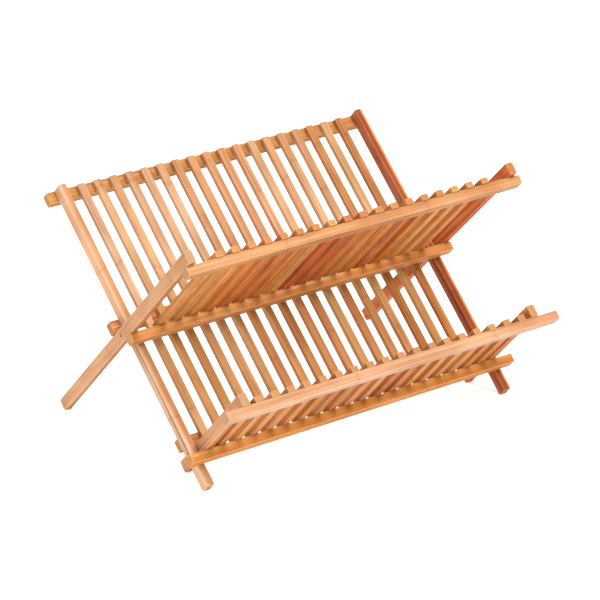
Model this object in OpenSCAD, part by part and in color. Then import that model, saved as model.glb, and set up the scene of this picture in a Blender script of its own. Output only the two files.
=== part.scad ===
// Folding dish drying rack made of bamboo strips.
//
// Three slatted frames cross each other like two letters X. A long back frame leans
// backwards. A tall upper rack crosses it at mid height and a short lower rack crosses it
// near the floor. Both racks turn on steel pins and fold flat against the back frame.
//
// X runs across the rack, -Y is the front and +Z is up. The origin is the bottom centre of
// the box around the open rack. Millimetres and degrees.
//
// Each frame has its own flat space: along its legs, and across their depth. "Up a frame"
// means along its legs from the foot or from the pivot.

/* [Back frame] */
// Width over the outsides of the back frame's two rails
back_w = 420; // [418:1:430]
// Length of a rail from its foot to its top
back_l = 388; // [375:1:420]
// Lean of the back frame above the floor, in degrees
back_angle = 42.7; // [42:0.1:45]
// Distance up the back frame to the upper rack's pivot
upper_pivot_u = 196.5; // [190:0.5:205]
// Distance up the back frame to the lower rack's pivot
lower_pivot_u = 42.5; // [40:0.5:46]

/* [Upper rack] */
// Lean of the upper rack above the floor, in degrees
upper_angle = 44; // [43:0.1:46]
// Length of a leg above its pivot
upper_reach = 197.6; // [190:0.5:205]

/* [Lower rack] */
// Lean of the lower rack above the floor, in degrees
lower_angle = 45.8; // [44:0.1:47]
// Length of a leg above its pivot
lower_reach = 132.6; // [125:0.5:135]

/* [Strips] */
// Width of a rail or leg, across the rack
leg_t = 9.4; // [8:0.1:10]
// Depth of a rail or leg
leg_d = 14.4; // [14:0.1:16]
// Width of a slat
slat_w = 9.1; // [7:0.1:11]
// Depth of a slat
slat_d = 7; // [5:0.1:7]
// Distance from one slat to the next
slat_pitch = 20.96; // [18:0.01:21]
// Width of a cross bar
bar_w = 14.2; // [11:0.1:14.4]
// Thickness of a cross bar
bar_t = 10.6; // [7:0.1:11]

/* [Cross bar ends] */
// Reach of the two long back bars to the left of the middle
back_bar_left = 221; // [220:0.5:222]
// Reach of the two long back bars to the right of the middle
back_bar_right = 212; // [210:0.5:222]
// Reach of the short back bar to either side, inside the upper rack's legs
short_bar_reach = 209; // [205:0.5:209]
// Reach of the upper rack's top rail to the left of the middle
upper_rail_left = 221; // [220:0.5:226]
// Reach of the upper rack's top rail to the right of the middle
upper_rail_right = 226.4; // [220:0.1:230]
// Reach of the lower rack's top rail to the left of the middle
lower_rail_left = 222; // [220:0.5:226]
// Reach of the lower rack's top rail to the right of the middle
lower_rail_right = 225.8; // [220:0.1:230]
// Reach of the two seat rails to the left of the middle
seat_rail_left = 221; // [210:0.5:222]
// Reach of the two seat rails to the right of the middle
seat_rail_right = 222; // [220:0.5:226]

/* [Pivots] */
// Diameter of a pivot pin
pin_d = 4; // [3:0.1:5]
// Running clearance around a pin in a moving leg
pin_clearance = 0.06; // [0.02:0.01:0.1]
// Depth of a pin's end below the wood around it
pin_recess = 1.5; // [0.5:0.1:3]
// Side gap between the legs of two frames
side_gap = 0.6; // [0.4:0.1:1]

/* [Hidden] */
$fn = 48;
SLATS = 18;
PAIRS = SLATS / 2;
// A cutter reaches this far past what it cuts
PAST = 10;
// The lowest edge of each foot is worn off level, this much of it
foot_wear = 1;
// Gaps between the frames' wood when they are folded together
upper_fold_gap = 0.4;
lower_fold_gap = 0.8;
// The upper rack comes to rest this close to the back frame's middle bar
stop_gap = 0.3;

// The back frame's depth is centred on its pivots. A rack's depth lies a little towards
// its front face, so that its cross rails pass over the back frame when it folds.
back_face = -leg_d / 2;
upper_front = leg_d / 2 + upper_fold_gap;
upper_back = upper_front - leg_d;
lower_front = leg_d / 2 + lower_fold_gap;
lower_back = lower_front - leg_d;

// Inner faces of the three pairs of legs: the upper rack's are outside the back frame's,
// the lower rack's are inside them
back_in = back_w / 2 - leg_t;
upper_in = back_w / 2 + side_gap;
lower_in = back_in - side_gap - leg_t;

// Feet and pivots in the side view, as [depth, height]
foot_z = leg_d / 2 * cos(back_angle);
worn_l = foot_wear / sin(back_angle);
function up_back(u, v) = [
    u * cos(back_angle) - v * sin(back_angle),
    foot_z + u * sin(back_angle) + v * cos(back_angle)
];
function up_rack(pivot, angle, w, v) = [
    pivot[0] - w * cos(angle) - v * sin(angle),
    pivot[1] + w * sin(angle) - v * cos(angle)
];
upper_pivot = up_back(upper_pivot_u, 0);
lower_pivot = up_back(lower_pivot_u, 0);
upper_below = (upper_pivot[1] - upper_front * cos(upper_angle) + foot_wear) / sin(upper_angle);
lower_below = (lower_pivot[1] - lower_front * cos(lower_angle) + foot_wear) / sin(lower_angle);

// Cross bars, each by the middle of its width. The upper rack's legs come to rest under
// the middle bar, behind the back frame, when the rack stands open.
upper_open = 180 - back_angle - upper_angle;
middle_bar_u = upper_pivot_u + stop_gap + bar_w / 2
    + (-upper_back - (back_face - bar_t) * abs(cos(upper_open))) / sin(upper_open);
top_bar_u = back_l - 7;
lower_bar_u = lower_pivot_u + 16.1;
upper_rail_w = upper_reach - 14.4;
upper_seat_w = 15.9;
lower_rail_w = lower_reach - 8.1;
lower_seat_w = 15.8;

// Slat ends, along their own frame
back_slats = [lower_bar_u - bar_w / 2 - 2, back_l - 1.5];
upper_slats = [upper_seat_w - bar_w / 2 - 1, upper_reach - 5];
lower_slats = [lower_seat_w - bar_w / 2 - 0.5, lower_reach - 1.4];

// Shift from the middle of the frames to the middle of the whole rack
x_shift = (max(lower_rail_left, upper_rail_left) - max(upper_rail_right, lower_rail_right)) / 2;
rack_front = up_rack(lower_pivot, lower_angle, lower_rail_w + bar_w / 2, lower_front + bar_t)[0];
rack_back = up_back(top_bar_u + bar_w / 2, back_face - bar_t)[0];
y_shift = -(rack_front + rack_back) / 2;

// Wood tones and steel
PALE = [0.93, 0.76, 0.56];
HONEY = [0.86, 0.64, 0.40];
AMBER = [0.78, 0.53, 0.29];
STEEL = [0.62, 0.60, 0.57];

function two_digits(i) = str(i < 10 ? "0" : "", i);
function back_slat_name(i) = str("back_slat_", two_digits(i));
function upper_slat_name(i) = str("upper_slat_", two_digits(i));
function lower_pair_name(i) = str("lower_slat_pair_", i);
function slat_x(i) = (i - (SLATS + 1) / 2) * slat_pitch;
function slat_tone(i) = i % 3 == 0 ? AMBER : i % 3 == 1 ? PALE : HONEY;

// Puts what is drawn up the back frame in its place
module in_back() {
    translate([x_shift, y_shift, foot_z])
        rotate([back_angle, 0, 0])
            children();
}

// Puts what is drawn up a rack in its place; its front face is towards +Z there
module in_rack(pivot, angle) {
    translate([x_shift, y_shift + pivot[0], pivot[1]])
        rotate([180 - angle, 0, 0])
            children();
}

// A straight strip between two corners, given as a range along each axis
module strip(x, y, z) {
    translate([x[0], y[0], z[0]])
        cube([x[1] - x[0], y[1] - y[0], z[1] - z[0]]);
}

// A leg or rail on one side, side = -1 for left and 1 for right, with a pin's hole
module leg(side, inner, y, z) {
    left = side > 0 ? inner : -inner - leg_t;
    strip([left, left + leg_t], y, z);
}

module pin_hole(u, d) {
    translate([-back_w, u, 0])
        rotate([0, 90, 0])
            cylinder(d = d, h = 2 * back_w);
}

module cross_bar(left, right, middle, z) {
    strip([-left, right], [middle - bar_w / 2, middle + bar_w / 2], z);
}

// Everything below the floor, cut away to leave a level foot
module floor_cut() {
    translate([-back_w, -back_w, -back_w])
        cube([2 * back_w, 2 * back_w, back_w]);
}

module back_rail(side) {
    color(side < 0 ? HONEY : AMBER)
    difference() {
        in_back() difference() {
            leg(side, back_in, [-worn_l, back_l], [back_face, -back_face]);
            pin_hole(upper_pivot_u, pin_d);
            pin_hole(lower_pivot_u, pin_d);
        }
        floor_cut();
    }
}

module back_slat(i) {
    x = slat_x(i);
    color(slat_tone(i))
    in_back()
        strip([x - slat_w / 2, x + slat_w / 2], back_slats, [back_face, back_face + slat_d]);
}

module back_bar(left, right, middle) {
    color(HONEY)
    in_back()
        cross_bar(left, right, middle, [back_face - bar_t, back_face]);
}

module rack_leg(side, inner, pivot, angle, reach, below, front) {
    color(side < 0 ? PALE : AMBER)
    difference() {
        in_rack(pivot, angle) difference() {
            leg(side, inner, [-below, reach], [front - leg_d, front]);
            pin_hole(0, pin_d + 2 * pin_clearance);
        }
        floor_cut();
    }
}

module rack_slat(i, pivot, angle, ends, front) {
    x = slat_x(i);
    color(slat_tone(i + 1))
    in_rack(pivot, angle)
        strip([x - slat_w / 2, x + slat_w / 2], ends, [front - slat_d, front]);
}

module rack_rail(left, right, pivot, angle, middle, front) {
    color(HONEY)
    in_rack(pivot, angle)
        cross_bar(left, right, middle, [front, front + bar_t]);
}

// The two pins of one pivot, pressed into the back rails. They reach from one leg's far
// face to the other's, less a recess at each end.
module pivot_pins(u, from, to) {
    length = to - from - 2 * pin_recess;
    color(STEEL)
    in_back()
        for (side = [-1, 1])
            translate([side * (from + to) / 2, u, 0])
                rotate([0, 90, 0])
                    cylinder(d = pin_d, h = length, center = true);
}

module upper_leg(side) {
    rack_leg(side, upper_in, upper_pivot, upper_angle, upper_reach, upper_below, upper_front);
}

module upper_slat(i) {
    rack_slat(i, upper_pivot, upper_angle, upper_slats, upper_front);
}

module upper_rail(left, right, middle) {
    rack_rail(left, right, upper_pivot, upper_angle, middle, upper_front);
}

module lower_leg(side) {
    rack_leg(side, lower_in, lower_pivot, lower_angle, lower_reach, lower_below, lower_front);
}

module lower_slat_pair(pair) {
    for (i = [2 * pair - 1, 2 * pair])
        rack_slat(i, lower_pivot, lower_angle, lower_slats, lower_front);
}

module lower_rail(left, right, middle) {
    rack_rail(left, right, lower_pivot, lower_angle, middle, lower_front);
}

back_rail(-1);  // back_left_rail
back_rail(1);  // back_right_rail
back_bar(back_bar_left, back_bar_right, top_bar_u);  // back_top_bar
back_bar(back_bar_left, back_bar_right, middle_bar_u);  // back_middle_bar
back_bar(short_bar_reach, short_bar_reach, lower_bar_u);  // back_lower_bar
pivot_pins(upper_pivot_u, back_in, upper_in + leg_t);  // upper_pivot_pins
pivot_pins(lower_pivot_u, lower_in, back_w / 2);  // lower_pivot_pins
for (i = [1 : SLATS])
    back_slat(i);

upper_leg(-1);  // upper_left_leg
upper_leg(1);  // upper_right_leg
upper_rail(upper_rail_left, upper_rail_right, upper_rail_w);  // upper_top_rail
upper_rail(seat_rail_left, seat_rail_right, upper_seat_w);  // upper_seat_rail
for (i = [1 : SLATS])
    upper_slat(i);

lower_leg(-1);  // lower_left_leg
lower_leg(1);  // lower_right_leg
lower_rail(lower_rail_left, lower_rail_right, lower_rail_w);  // lower_top_rail
lower_rail(seat_rail_left, seat_rail_right, lower_seat_w);  // lower_seat_rail
for (i = [1 : PAIRS])
    lower_slat_pair(i);
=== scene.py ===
import math
import random

import bpy
from mathutils import Color, Matrix, Vector


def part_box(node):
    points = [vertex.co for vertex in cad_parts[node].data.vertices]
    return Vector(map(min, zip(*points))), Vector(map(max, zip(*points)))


# A folding bamboo dish rack, in metres, in the frame of its CAD model: X runs across the
# rack, -Y is its front and the floor is z = 0. The CAD model's strips are kept as they
# are. They get rounded edges and a bamboo material each, whose grain follows the strip.

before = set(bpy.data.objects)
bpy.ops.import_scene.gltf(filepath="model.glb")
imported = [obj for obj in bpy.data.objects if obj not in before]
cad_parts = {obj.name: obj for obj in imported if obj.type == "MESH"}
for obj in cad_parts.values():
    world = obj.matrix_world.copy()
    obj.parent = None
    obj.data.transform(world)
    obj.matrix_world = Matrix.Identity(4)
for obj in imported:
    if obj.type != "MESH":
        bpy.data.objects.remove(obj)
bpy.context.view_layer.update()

# The lean of each frame above the floor, in degrees. The back frame leans backwards and
# the two racks lean forwards.
LEAN = {"back": 42.7, "upper": 180 - 44.0, "lower": 180 - 45.8}

# Rounding of the strips' edges and of the pins' rims, and the least corner that is rounded
EDGE_ROUND = 0.0007
PIN_ROUND = EDGE_ROUND / 3
EDGE_ANGLE = math.radians(40)
WELD = 1e-5

WHITE = (1, 1, 1, 1)


# --- Camera, floor and light -----------------------------------------------------------

def unit(azimuth, elevation):
    """The direction from the rack towards a place round it, in degrees. Azimuth 0 is the
    front and positive azimuths are on the rack's right."""
    a, e = math.radians(azimuth), math.radians(elevation)
    return Vector((math.sin(a) * math.cos(e), -math.cos(a) * math.cos(e), math.sin(e)))


def make_camera():
    """A long lens, from the rack's left and above, turned slightly about its own axis."""
    aim, distance = Vector((0.008, 0.0171, 0.1266)), 3.3756
    azimuth, elevation, roll = -34.56, 22.53, -1.43
    data = bpy.data.cameras.new("camera")
    data.lens = 178
    data.sensor_width = 36
    data.clip_start, data.clip_end = 0.1, 50
    camera = bpy.data.objects.new("camera", data)
    bpy.context.scene.collection.objects.link(camera)
    back = unit(azimuth, elevation)
    level = back.to_track_quat("Z", "Y").to_matrix()
    turn = level @ Matrix.Rotation(math.radians(roll), 3, "Z")
    camera.matrix_world = Matrix.Translation(aim + back * distance) @ turn.to_4x4()
    bpy.context.scene.camera = camera


def make_floor():
    """A plain white floor that gives off a little light of its own, so that it stays white."""
    half = 6.0
    corners = [(-half, -half, 0), (half, -half, 0), (half, half, 0), (-half, half, 0)]
    mesh = bpy.data.meshes.new("floor")
    mesh.from_pydata(corners, [], [(0, 1, 2, 3)])
    floor = bpy.data.objects.new("floor", mesh)
    bpy.context.scene.collection.objects.link(floor)
    material = bpy.data.materials.new("floor")
    material.use_nodes = True
    shader = material.node_tree.nodes["Principled BSDF"]
    shader.inputs["Base Color"].default_value = (0.92, 0.92, 0.92, 1)
    shader.inputs["Roughness"].default_value = 0.9
    shader.inputs["Emission Color"].default_value = WHITE
    shader.inputs["Emission Strength"].default_value = 0.4
    shader.inputs["Specular IOR Level"].default_value = 0.1
    mesh.materials.append(material)


def make_light(name, azimuth, elevation, size, power, tint):
    """A square soft light that looks at the middle of the rack."""
    middle, distance = Vector((0, 0, 0.1)), 3.0
    data = bpy.data.lights.new(name, "AREA")
    data.shape = "SQUARE"
    data.size = size
    data.energy = power
    data.color = tint
    light = bpy.data.objects.new(name, data)
    bpy.context.scene.collection.objects.link(light)
    towards = unit(azimuth, elevation)
    turn = towards.to_track_quat("Z", "Y").to_matrix().to_4x4()
    light.matrix_world = Matrix.Translation(middle + towards * distance) @ turn


def light_scene():
    world = bpy.data.worlds.new("studio")
    bpy.context.scene.world = world
    world.use_nodes = True
    sky = world.node_tree.nodes["Background"]
    sky.inputs["Color"].default_value = WHITE
    sky.inputs["Strength"].default_value = 1.15
    make_light("key", 12, 60, size=1.4, power=100, tint=(1, 0.98, 0.96))
    make_light("fill", -75, 25, size=1.8, power=26, tint=(1, 0.98, 0.97))
    bpy.context.scene.view_settings.view_transform = "Standard"


# --- Node helpers ----------------------------------------------------------------------

class Graph:
    """Short calls that add nodes to one tree and link them. An input that is a socket is
    linked, and any other value is set."""

    def __init__(self, tree):
        self.tree = tree

    def node(self, kind, inputs=(), **settings):
        made = self.tree.nodes.new(kind)
        for name, value in settings.items():
            setattr(made, name, value)
        for key, value in dict(inputs).items():
            self.put(made.inputs[key], value)
        return made

    def put(self, socket, value):
        if isinstance(value, bpy.types.NodeSocket):
            self.tree.links.new(value, socket)
        else:
            socket.default_value = value

    def math(self, operation, *values):
        made = self.node("ShaderNodeMath", operation=operation)
        for socket, value in zip(made.inputs, values):
            self.put(socket, value)
        return made.outputs[0]

    def vector(self, operation, *values):
        made = self.node("ShaderNodeVectorMath", operation=operation)
        for socket, value in zip(made.inputs, values):
            self.put(socket, value)
        return made.outputs["Vector"]

    def product(self, *values):
        found = values[0]
        for value in values[1:]:
            found = self.math("MULTIPLY", found, value)
        return found

    def axes(self, vector):
        """The X, Y and Z of a vector."""
        return self.node("ShaderNodeSeparateXYZ", {"Vector": vector}).outputs

    def noise(self, place, stretch, detail=2.0, rough=0.5, warp=0.0):
        """Noise with so many waves per metre along each axis."""
        scaled = self.vector("MULTIPLY", place, stretch)
        inputs = {"Vector": scaled, "Scale": 1.0, "Detail": detail, "Roughness": rough}
        inputs["Distortion"] = warp
        return self.node("ShaderNodeTexNoise", inputs).outputs["Fac"]

    def ramp(self, value, low, high, to_low=0.0, to_high=1.0):
        """Maps a stretch of values smoothly onto another, held at both ends."""
        inputs = {"Value": value, "From Min": low, "From Max": high}
        inputs.update({"To Min": to_low, "To Max": to_high})
        made = self.node("ShaderNodeMapRange", inputs, interpolation_type="SMOOTHSTEP")
        return made.outputs["Result"]

    def mix(self, share, one, other, blend="MIX"):
        made = self.node("ShaderNodeMix", data_type="RGBA", blend_type=blend)
        self.put(made.inputs["Factor"], share)
        # The colour sockets share their names with the number and vector ones
        self.put(made.inputs[6], one)
        self.put(made.inputs[7], other)
        return made.outputs[2]

    def blend(self, share, colour, towards, reach):
        """Takes a share of a colour part of the way to another."""
        return self.mix(share, colour, self.mix(reach, colour, (*towards, 1)))

    def stain(self, share, colour, by):
        """Multiplies a share of a colour by another."""
        return self.mix(share, colour, self.mix(1.0, colour, (*by, 1), "MULTIPLY"))

    def bump(self, height, strength, depth):
        """The surface's normal, tilted by a height from 0 to 1 that stands for a depth in metres."""
        inputs = {"Height": height, "Strength": strength, "Distance": depth}
        return self.node("ShaderNodeBump", inputs).outputs["Normal"]


def new_group(name, inputs, outputs):
    tree = bpy.data.node_groups.new(name, "ShaderNodeTree")
    for in_out, items in (("INPUT", inputs), ("OUTPUT", outputs)):
        for label, kind in items:
            tree.interface.new_socket(label, in_out=in_out, socket_type="NodeSocket" + kind)
    graph = Graph(tree)
    return tree, graph, graph.node("NodeGroupInput").outputs, graph.node("NodeGroupOutput").inputs


# --- Bamboo ----------------------------------------------------------------------------

# The length of cane from one knuckle to the next, and the share of it by which they wander
KNUCKLE_PITCH = 0.19
KNUCKLE_WANDER = 0.05
# The fine dark vessels, counted across the cane
VESSELS_PER_METRE = 1500.0
# A leg's two layers meet between these distances from its middle, towards the rack's middle
PLY_JOINT = (-0.0020, -0.0012)
# Painted shade: the back slats grow darker and redder between these two heights, down to the lower
# one, for the shade in the bay under the upper rack
LOWER_BAY_SHADE = (0.165, 0.125)


def bamboo_group():
    """Bamboo cut in strips. Place is a point with Y along the strip, in metres, moved by an
    amount of its own for each strip. Normal is the surface's, turned the same way."""
    tree, g, given, result = new_group(
        "bamboo",
        [("Place", "Vector"), ("Normal", "Vector"), ("Tone", "Color"), ("Skin", "Color"),
         ("Across", "Float"), ("Two plies", "Float")],
        [("Color", "Color"), ("Roughness", "Float"), ("Height", "Float")],
    )
    place, normal = given["Place"], given["Normal"]
    along = g.axes(place)["Y"]
    nx, ny, nz = g.axes(g.vector("ABSOLUTE", normal))

    # The outer layer may have its own tone on the front face
    layer = g.ramp(given["Across"], *PLY_JOINT)
    skin = g.product(g.ramp(g.axes(normal)["Z"], 0.5, 0.8), g.math("SUBTRACT", 1.0, layer))
    tone = g.mix(skin, given["Tone"], given["Skin"])

    # Where the surface is: an end, a long side, or a rounded edge between two faces
    end = g.ramp(ny, 0.6, 0.9)
    side = g.math("SUBTRACT", 1.0, end)
    flattest = g.math("MAXIMUM", g.math("MAXIMUM", nx, ny), nz)
    edge = g.ramp(flattest, 0.99, 0.80)

    # Long fibres: fine dark vessels, broad streaks and a slow drift of tone
    fine = g.noise(place, (VESSELS_PER_METRE, 14, VESSELS_PER_METRE), 3, 0.6)
    vessel = g.ramp(fine, 0.56, 0.74)
    streak = g.noise(place, (330, 5, 330), 3, 0.55, 0.2)
    drift = g.noise(place, (45, 13, 45), 2, 0.5)
    blush = g.noise(g.vector("ADD", place, (7, 3, 1)), (60, 17, 60), 2, 0.5)

    # Knuckles of the cane: a thin ring in a soft halo
    wander = g.product(g.noise(place, (180, 30, 180), 1), KNUCKLE_WANDER)
    turns = g.math("ADD", g.math("DIVIDE", along, KNUCKLE_PITCH), wander)
    off = g.math("ABSOLUTE", g.math("SUBTRACT", g.math("FRACT", turns), 0.5))
    ring = g.ramp(off, 0.014, 0.003)
    halo = g.ramp(off, 0.075, 0.0)

    # Cut ends show the vessels as dots
    cells = g.node("ShaderNodeTexVoronoi", {"Vector": place, "Scale": VESSELS_PER_METRE})
    dot = g.ramp(cells.outputs["Distance"], 0.42, 0.2)

    # The long sides' colour
    tint = g.stain(g.ramp(drift, 0.35, 0.68), tone, (0.80, 0.70, 0.60))
    tint = g.blend(g.ramp(blush, 0.48, 0.72, 0, 0.55), tint, (0.80, 0.34, 0.19), 0.22)
    tint = g.stain(g.ramp(streak, 0.50, 0.75, 0, 0.6), tint, (0.74, 0.60, 0.47))
    tint = g.blend(g.ramp(streak, 0.48, 0.28, 0, 0.4), tint, (0.96, 0.70, 0.44), 0.4)
    side_vessel = g.product(vessel, side)
    tint = g.stain(g.product(side_vessel, 0.42), tint, (0.62, 0.45, 0.32))
    tint = g.stain(g.product(halo, 0.15), tint, (0.82, 0.66, 0.50))
    tint = g.stain(g.product(ring, 0.28), tint, (0.62, 0.44, 0.30))

    # A leg is glued from two layers. The inner one is ruddier, on its front and back faces.
    inner = g.product(layer, g.ramp(nz, 0.5, 0.8), given["Two plies"])
    tint = g.stain(inner, tint, (0.86, 0.66, 0.50))

    # Darker cut ends, and paler rounded edges: a painted highlight along them, patchy with the
    # streaks
    cut = g.mix(0.5, tone, (0.26, 0.155, 0.075, 1))
    cut = g.stain(g.product(dot, 0.5), cut, (0.55, 0.42, 0.30))
    tint = g.mix(end, tint, cut)
    # Painted highlight along the rounded edges
    edge_highlight = g.product(edge, g.ramp(streak, 0.30, 0.60, 0.15, 0.55))
    tint = g.blend(edge_highlight, tint, (0.98, 0.76, 0.54), 0.55)

    rough = g.math("ADD", g.product(streak, 0.18), g.product(end, 0.22))
    rough = g.math("ADD", rough, g.math("ADD", 0.45, g.product(vessel, 0.12)))
    high = g.math("SUBTRACT", g.product(ring, 0.8), g.product(side_vessel, 0.5))
    high = g.math("ADD", high, g.product(streak, 0.35))
    high = g.math("SUBTRACT", high, g.product(dot, end, 0.4))
    for label, value in (("Color", tint), ("Roughness", rough), ("Height", high)):
        g.put(result[label], value)
    return tree


BAMBOO = bamboo_group()


def bamboo(name, lean, middle_x, tone, skin, seed, two_plies, across, lower_bay_shade):
    """The bamboo of one strip. The strip runs up a frame that leans by an angle, or across
    the rack. A seed picks its own piece of cane."""
    material = bpy.data.materials.new(name)
    material.use_nodes = True
    g = Graph(material.node_tree)
    shader = material.node_tree.nodes["Principled BSDF"]
    where = g.node("ShaderNodeTexCoord").outputs
    turn = {"Rotation": (math.radians(-lean), 0, math.radians(90) if across else 0)}
    draw = random.Random(seed)
    shift = [draw.uniform(-9, 9) for _ in range(3)]
    turned = g.node("ShaderNodeMapping", {"Vector": where["Object"], **turn}).outputs[0]
    facing = g.node("ShaderNodeMapping", {"Vector": where["Normal"], **turn}, vector_type="VECTOR")
    aside, _, height = g.axes(where["Object"])
    inwards = -math.copysign(1, middle_x)
    layer = g.product(g.math("SUBTRACT", aside, middle_x), inwards)
    cane = g.node("ShaderNodeGroup", node_tree=BAMBOO)
    g.put(cane.inputs["Place"], g.vector("ADD", turned, shift))
    g.put(cane.inputs["Normal"], facing.outputs[0])
    g.put(cane.inputs["Tone"], (*tone, 1))
    g.put(cane.inputs["Skin"], (*skin, 1))
    # A strip that runs across the rack counts as all outer layer
    g.put(cane.inputs["Across"], -1.0 if across else layer)
    g.put(cane.inputs["Two plies"], two_plies)
    # Painted shade: the back slats' colour is darkened and reddened towards the bottom
    low = g.product(g.ramp(height, *LOWER_BAY_SHADE), lower_bay_shade)
    colour = g.stain(low, cane.outputs["Color"], (0.99, 0.87, 0.62))
    g.put(shader.inputs["Base Color"], colour)
    g.put(shader.inputs["Roughness"], cane.outputs["Roughness"])
    g.put(shader.inputs["Normal"], g.bump(cane.outputs["Height"], 0.35, 0.0003))
    shader.inputs["Specular IOR Level"].default_value = 0.1
    return material


# Tones as linear colours, by a letter: pale, honey, amber and brown for the back frame's
# slats, orange, russet and fox for the upper rack's, copper and ginger for the lower's
# The racks' tones are deeper and more saturated than the back frame's: partly the cane's own colour,
# partly painted shade for the saturated shade on the faces that are in view
TONES = {
    "p": (0.43, 0.265, 0.150),
    "h": (0.40, 0.225, 0.112),
    "a": (0.37, 0.180, 0.080),
    "b": (0.33, 0.140, 0.045),
    "o": (0.48, 0.200, 0.036),
    "r": (0.43, 0.135, 0.014),
    "f": (0.39, 0.088, 0.008),
    "c": (0.42, 0.175, 0.046),
    "g": (0.385, 0.140, 0.030),
}
# The slats' tones from left to right; the lower rack's go by pairs
SLAT_TONES = {
    "back": "phhhppaaaaahahhbhb",
    "upper": "ooorrfroffrrrfroor",
    "lower": "ccggcgccg",
}
# Painted shade: the right legs and the back frame's right rail, whose inner faces look onto the
# slats, are toned darker and redder than the left ones, and so are the back frame's middle and lower
# bars, seen through the gaps
STRIP_TONES = {
    "back_left_rail": (0.465, 0.285, 0.172),
    "back_right_rail": (0.28, 0.066, 0.012),
    "back_top_bar": (0.375, 0.160, 0.040),
    "back_middle_bar": (0.32, 0.095, 0.018),
    "back_lower_bar": (0.34, 0.120, 0.028),
    "upper_left_leg": (0.405, 0.215, 0.105),
    "upper_right_leg": (0.39, 0.078, 0.006),
    "upper_top_rail": (0.375, 0.180, 0.073),
    "upper_seat_rail": (0.46, 0.195, 0.045),
    "lower_left_leg": (0.41, 0.210, 0.105),
    "lower_right_leg": (0.41, 0.160, 0.043),
    "lower_top_rail": (0.40, 0.215, 0.115),
    "lower_seat_rail": (0.44, 0.180, 0.034),
}
# Strips whose front face is cut from another part of the cane
SKIN_TONES = {
    "back_right_rail": (0.43, 0.195, 0.085),
    "lower_top_rail": (0.38, 0.245, 0.165),
    "upper_top_rail": (0.34, 0.155, 0.057),
}


def steel(name):
    """Dull steel with fine marks round the pin."""
    material = bpy.data.materials.new(name)
    material.use_nodes = True
    g = Graph(material.node_tree)
    shader = material.node_tree.nodes["Principled BSDF"]
    where = g.node("ShaderNodeTexCoord").outputs["Object"]
    marks = g.noise(where, (900, 4000, 4000), 3, 0.6)
    g.put(shader.inputs["Base Color"], g.mix(marks, (0.20, 0.17, 0.14, 1), (0.46, 0.42, 0.37, 1)))
    g.put(shader.inputs["Roughness"], g.ramp(marks, 0.2, 0.8, 0.32, 0.55))
    shader.inputs["Metallic"].default_value = 1.0
    g.put(shader.inputs["Normal"], g.bump(marks, 0.2, 0.0001))
    return material


def varied(tone, seed):
    """A tone a little lighter or darker, and a little redder or yellower."""
    draw = random.Random(seed)
    colour = Color(tone)
    colour.h += draw.uniform(-0.006, 0.006)
    colour.s *= draw.uniform(0.96, 1.03)
    colour.v *= draw.uniform(0.95, 1.05)
    return tuple(colour)


def round_edges(piece, width):
    weld = piece.modifiers.new("weld", "WELD")
    weld.merge_threshold = WELD
    bevel = piece.modifiers.new("round", "BEVEL")
    bevel.width = width
    bevel.segments = 3
    bevel.limit_method = "ANGLE"
    bevel.angle_limit = EDGE_ANGLE


def set_material(piece, material):
    for slot in piece.material_slots:
        slot.link = "OBJECT"
        slot.material = material


def finish_strip(node, piece, seed):
    """Gives a slat, leg, rail or bar its bamboo and its rounded edges."""
    low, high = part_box(node)
    middle_x = (low[0] + high[0]) / 2
    part = node.split("_")[0]
    slat = "slat" in node
    leg = node.endswith("_leg") or node in ("back_left_rail", "back_right_rail")
    if slat:
        letter = SLAT_TONES[part][int(node.split("_")[-1]) - 1]
        tone = varied(TONES[letter], seed)
    else:
        tone = STRIP_TONES[node]
    material = bamboo(
        node, LEAN[part], middle_x, tone, SKIN_TONES.get(node, tone), seed,
        two_plies=1.0 if leg else 0.0,
        across=not slat and not leg,
        lower_bay_shade=1.0 if slat and part == "back" else 0.0,
    )
    set_material(piece, material)
    round_edges(piece, EDGE_ROUND)


make_camera()
make_floor()
light_scene()
for seed, (node, piece) in enumerate(sorted(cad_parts.items())):
    if node.endswith("pins"):
        set_material(piece, steel(node))
        round_edges(piece, PIN_ROUND)
    else:
        finish_strip(node, piece, seed)
